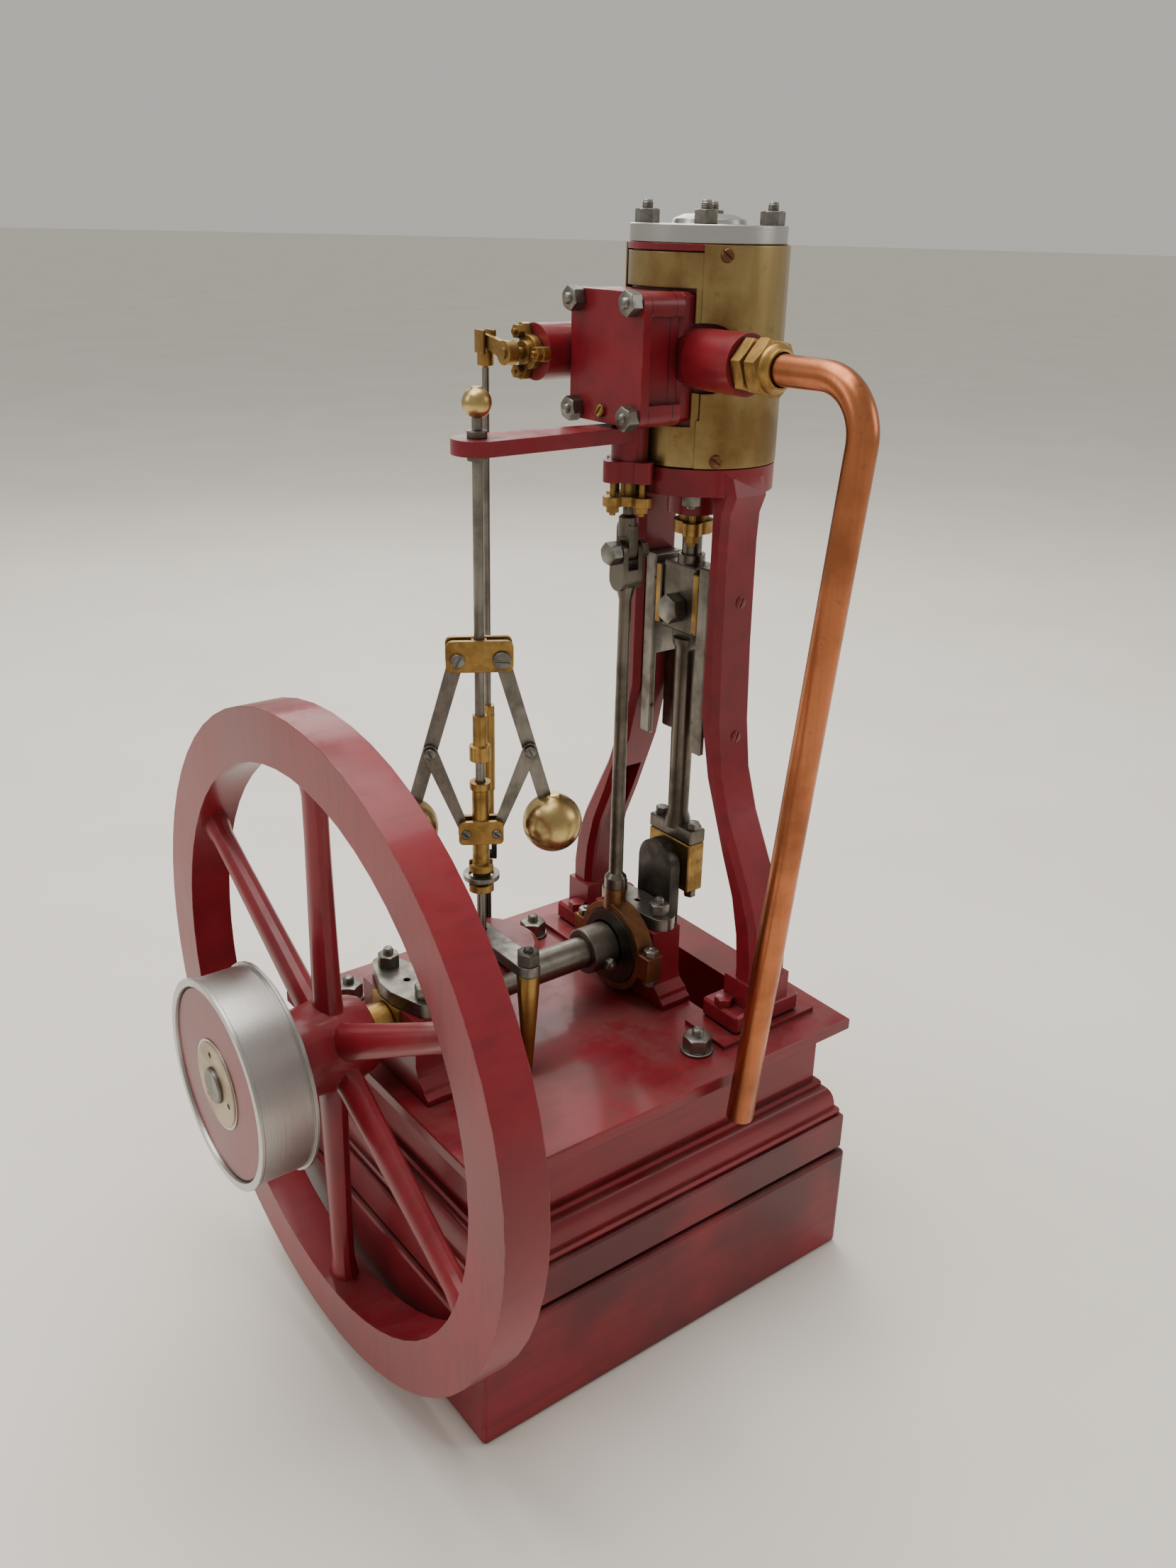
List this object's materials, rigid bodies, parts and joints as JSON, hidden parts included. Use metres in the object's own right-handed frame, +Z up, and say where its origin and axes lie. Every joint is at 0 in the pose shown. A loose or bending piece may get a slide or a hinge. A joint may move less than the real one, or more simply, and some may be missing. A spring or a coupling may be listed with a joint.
{
  "type": "stationary steam engine",
  "caption": "Vertical stationary steam engine with a moulded base, splayed column, flywheel, belt pulley, slide valve gear and ball governor.",
  "frame": {"origin": "centre of the underside of the plinth, below the crankshaft's axis", "axes": "+X along the crankshaft from the belt pulley to the cylinder, +Z up, -Y towards the exhaust pipe"},
  "size_m": [0.3563, 0.368, 0.6154],
  "materials": {
    "red_paint": "gloss",
    "painted_wood": "gloss",
    "brass": "satin",
    "copper": "satin",
    "steel": "satin",
    "dark_steel": "satin"
  },
  "bodies": {
    "base": {"plinth": "painted_wood", "base_slab": "painted_wood", "bedplate": "red_paint", "column": "red_paint", "slide_bar_front": "steel", "slide_bar_rear": "steel", "inner_bearing": "red_paint", "inner_bearing_cap": "steel", "inner_bearing_brass": "brass", "outer_bearing": "red_paint", "outer_bearing_cap": "steel", "outer_bearing_brass": "brass", "cylinder": "red_paint", "cylinder_cover": "steel", "cladding_front": "brass", "cladding_rear": "brass", "piston_gland": "brass", "steam_chest": "red_paint", "steam_chest_cover": "red_paint", "valve_gland": "brass", "pipe_union": "brass", "exhaust_pipe": "copper", "throttle_housing": "red_paint", "throttle_gland": "brass", "governor_bridge": "steel", "bridge_post_front": "brass", "bridge_post_rear": "brass", "fulcrum_post": "dark_steel", "holding_down_nut_1": "steel", "holding_down_nut_2": "steel", "holding_down_nut_3": "steel", "holding_down_nut_4": "steel"},
    "crank": {"crankshaft": "steel", "crank_web": "steel", "sheave_collar": "steel", "spacer_bush": "brass", "governor_pinion": "steel", "flywheel": "red_paint", "belt_pulley": "steel"},
    "crosshead_body": {"crosshead": "steel", "crosshead_pin": "steel", "piston_and_rod": "steel"},
    "rod_body": {"connecting_rod": "steel", "big_end_brasses": "brass", "crankpin": "steel"},
    "valve_body": {"valve_rod": "steel"},
    "eccentric_body": {"eccentric_rod": "steel", "eccentric_strap": "brass", "eccentric_sheave": "dark_steel"},
    "governor_body": {"governor_spindle": "steel", "governor_bevel_wheel": "red_paint", "governor_head": "brass"},
    "sleeve_body": {"governor_sleeve": "brass"},
    "lever_body": {"governor_lever": "steel"},
    "throttle_rod_body": {"throttle_rod": "brass"},
    "throttle_body": {"throttle_lever": "steel"},
    "arm_right": {"governor_arm_right": "steel"},
    "arm_left": {"governor_arm_left": "steel"},
    "link_right": {"governor_link_right": "steel"},
    "link_left": {"governor_link_left": "steel"}
  },
  "joints": [
    {"name": "crank_spin", "type": "hinge", "parent": "base", "child": "crank", "pos_m": [0, 0, 0.2005], "axis": [1, 0, 0], "continuous": true},
    {"name": "crosshead_slide", "type": "slide", "parent": "base", "child": "crosshead_body", "axis": [0, 0, 1], "range_m": [-0.089, 0]},
    {"name": "conrod_swing", "type": "hinge", "parent": "crosshead_body", "child": "rod_body", "pos_m": [0.0825, 0, 0.404], "axis": [-1, 0, 0], "range_deg": [-16.25, 16.25]},
    {"name": "valve_slide", "type": "slide", "parent": "base", "child": "valve_body", "axis": [0, 0, 1], "range_m": [-0.0036, 0.0036]},
    {"name": "eccentric_swing", "type": "hinge", "parent": "valve_body", "child": "eccentric_body", "pos_m": [0.0355, 0, 0.441], "axis": [1, 0, 0], "range_deg": [-0.86, 0.86]},
    {"name": "governor_spin", "type": "hinge", "parent": "base", "child": "governor_body", "pos_m": [-0.0595, 0, 0.3975], "axis": [0, 0, 1], "continuous": true},
    {"name": "governor_arm_right_swing", "type": "hinge", "parent": "governor_body", "child": "arm_right", "pos_m": [-0.04971, -0.00565, 0.3975], "axis": [-0.5, -0.866, 0], "range_deg": [0, 13]},
    {"name": "governor_arm_left_swing", "type": "hinge", "parent": "governor_body", "child": "arm_left", "pos_m": [-0.06929, 0.00565, 0.3975], "axis": [0.5, 0.866, 0], "range_deg": [0, 13.5]},
    {"name": "governor_link_right_swing", "type": "hinge", "parent": "arm_right", "child": "link_right", "pos_m": [-0.03671, -0.01316, 0.34615], "axis": [-0.5, -0.866, 0], "range_deg": [-30, 0]},
    {"name": "governor_link_left_swing", "type": "hinge", "parent": "arm_left", "child": "link_left", "pos_m": [-0.08229, 0.01316, 0.34615], "axis": [0.5, 0.866, 0], "range_deg": [-30, 0]},
    {"name": "sleeve_slide", "type": "slide", "parent": "governor_body", "child": "sleeve_body", "axis": [0, 0, 1], "range_m": [0, 0.01108]},
    {"name": "governor_lever_rock", "type": "hinge", "parent": "base", "child": "lever_body", "pos_m": [-0.0325, 0.037, 0.2728], "axis": [-0.8087, 0.5882, 0], "range_deg": [0, 14.02]},
    {"name": "throttle_rod_slide", "type": "slide", "parent": "base", "child": "throttle_rod_body", "axis": [0, 0, 1], "range_m": [-0.00873, 0]},
    {"name": "throttle_lever_turn", "type": "hinge", "parent": "base", "child": "throttle_body", "pos_m": [-0.0115, 0.0445, 0.541], "axis": [1, 0, 0], "range_deg": [-22.63, 0]}
  ],
  "couplings": [
    {"joint": "governor_spin", "follows": "crank_spin", "ratio": 0.83333},
    {"joint": "governor_arm_left_swing", "follows": "governor_arm_right_swing", "ratio": 1},
    {"joint": "governor_link_right_swing", "follows": "governor_arm_right_swing", "ratio": -2.1265},
    {"joint": "governor_link_left_swing", "follows": "governor_arm_right_swing", "ratio": -2.1265},
    {"joint": "sleeve_slide", "follows": "governor_arm_right_swing", "m_per_rad": 0.04753},
    {"joint": "governor_lever_rock", "follows": "governor_arm_right_swing", "ratio": 1.0475},
    {"joint": "throttle_rod_slide", "follows": "governor_arm_right_swing", "m_per_rad": -0.037154},
    {"joint": "throttle_lever_turn", "follows": "governor_arm_right_swing", "ratio": -1.6947}
  ]
}
